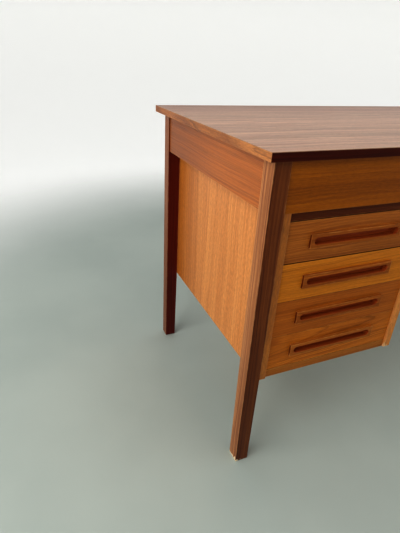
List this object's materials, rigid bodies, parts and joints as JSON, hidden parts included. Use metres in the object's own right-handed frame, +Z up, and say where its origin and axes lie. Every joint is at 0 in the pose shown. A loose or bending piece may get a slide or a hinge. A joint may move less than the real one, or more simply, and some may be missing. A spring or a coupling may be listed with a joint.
{
  "type": "writing desk",
  "caption": "Teak writing desk: square legs and aprons under a lipped top, a pedestal of drawers with slotted pulls, a pull-out writing slide and an open kneehole.",
  "frame": {"origin": "on the floor, under the middle of the top", "axes": "+X along the desk's length towards the kneehole end, -Y out of the drawers' fronts towards the sitter, +Z up"},
  "size_m": [1.25, 0.605, 0.73],
  "materials": {
    "desktop_veneer": "satin oiled teak veneer",
    "dark_teak": "satin dark oiled teak",
    "side_teak": "satin oiled teak",
    "red_teak": "satin oiled teak",
    "teak": "satin oiled teak",
    "drawer_teak": "satin oiled teak",
    "pull_teak": "satin oiled teak",
    "box_wood": "plain planed hardwood",
    "plywood": "plain sanded plywood"
  },
  "bodies": {
    "desk_frame": {"desktop_veneer": "desktop_veneer", "desktop_panel": "plywood", "desktop_front_lip": "dark_teak", "desktop_back_lip": "teak", "desktop_left_lip": "side_teak", "desktop_right_lip": "side_teak", "front_left_leg": "dark_teak", "front_right_leg": "dark_teak", "back_left_leg": "dark_teak", "back_right_leg": "dark_teak", "front_apron": "drawer_teak", "back_apron": "drawer_teak", "left_apron": "red_teak", "right_apron": "red_teak", "front_corner_block": "box_wood", "back_corner_block": "box_wood", "pedestal_left_panel": "side_teak", "pedestal_right_panel": "side_teak", "pedestal_bottom_board": "teak", "pedestal_back_panel": "plywood", "slide_left_rail": "box_wood", "slide_right_rail": "box_wood", "drawer_1_left_runner": "box_wood", "drawer_1_right_runner": "box_wood", "drawer_2_left_runner": "box_wood", "drawer_2_right_runner": "box_wood", "drawer_3_left_runner": "box_wood", "drawer_3_right_runner": "box_wood", "drawer_4_left_runner": "box_wood", "drawer_4_right_runner": "box_wood"},
    "writing_slide": {"slide_board": "desktop_veneer", "slide_lip": "dark_teak"},
    "drawer_1": {"drawer_1_front": "drawer_teak", "drawer_1_pull": "pull_teak", "drawer_1_left_side": "box_wood", "drawer_1_right_side": "box_wood", "drawer_1_back": "box_wood", "drawer_1_bottom": "plywood"},
    "drawer_2": {"drawer_2_front": "drawer_teak", "drawer_2_pull": "pull_teak", "drawer_2_left_side": "box_wood", "drawer_2_right_side": "box_wood", "drawer_2_back": "box_wood", "drawer_2_bottom": "plywood"},
    "drawer_3": {"drawer_3_front": "drawer_teak", "drawer_3_pull": "pull_teak", "drawer_3_left_side": "box_wood", "drawer_3_right_side": "box_wood", "drawer_3_back": "box_wood", "drawer_3_bottom": "plywood"},
    "drawer_4": {"drawer_4_front": "drawer_teak", "drawer_4_pull": "pull_teak", "drawer_4_left_side": "box_wood", "drawer_4_right_side": "box_wood", "drawer_4_back": "box_wood", "drawer_4_bottom": "plywood"}
  },
  "joints": [
    {"name": "writing_slide_out", "type": "slide", "parent": "desk_frame", "child": "writing_slide", "axis": [0, -1, 0], "range_m": [0, 0.3]},
    {"name": "drawer_1_out", "type": "slide", "parent": "desk_frame", "child": "drawer_1", "axis": [0, -1, 0], "range_m": [0, 0.34]},
    {"name": "drawer_2_out", "type": "slide", "parent": "desk_frame", "child": "drawer_2", "axis": [0, -1, 0], "range_m": [0, 0.34]},
    {"name": "drawer_3_out", "type": "slide", "parent": "desk_frame", "child": "drawer_3", "axis": [0, -1, 0], "range_m": [0, 0.34]},
    {"name": "drawer_4_out", "type": "slide", "parent": "desk_frame", "child": "drawer_4", "axis": [0, -1, 0], "range_m": [0, 0.34]}
  ]
}
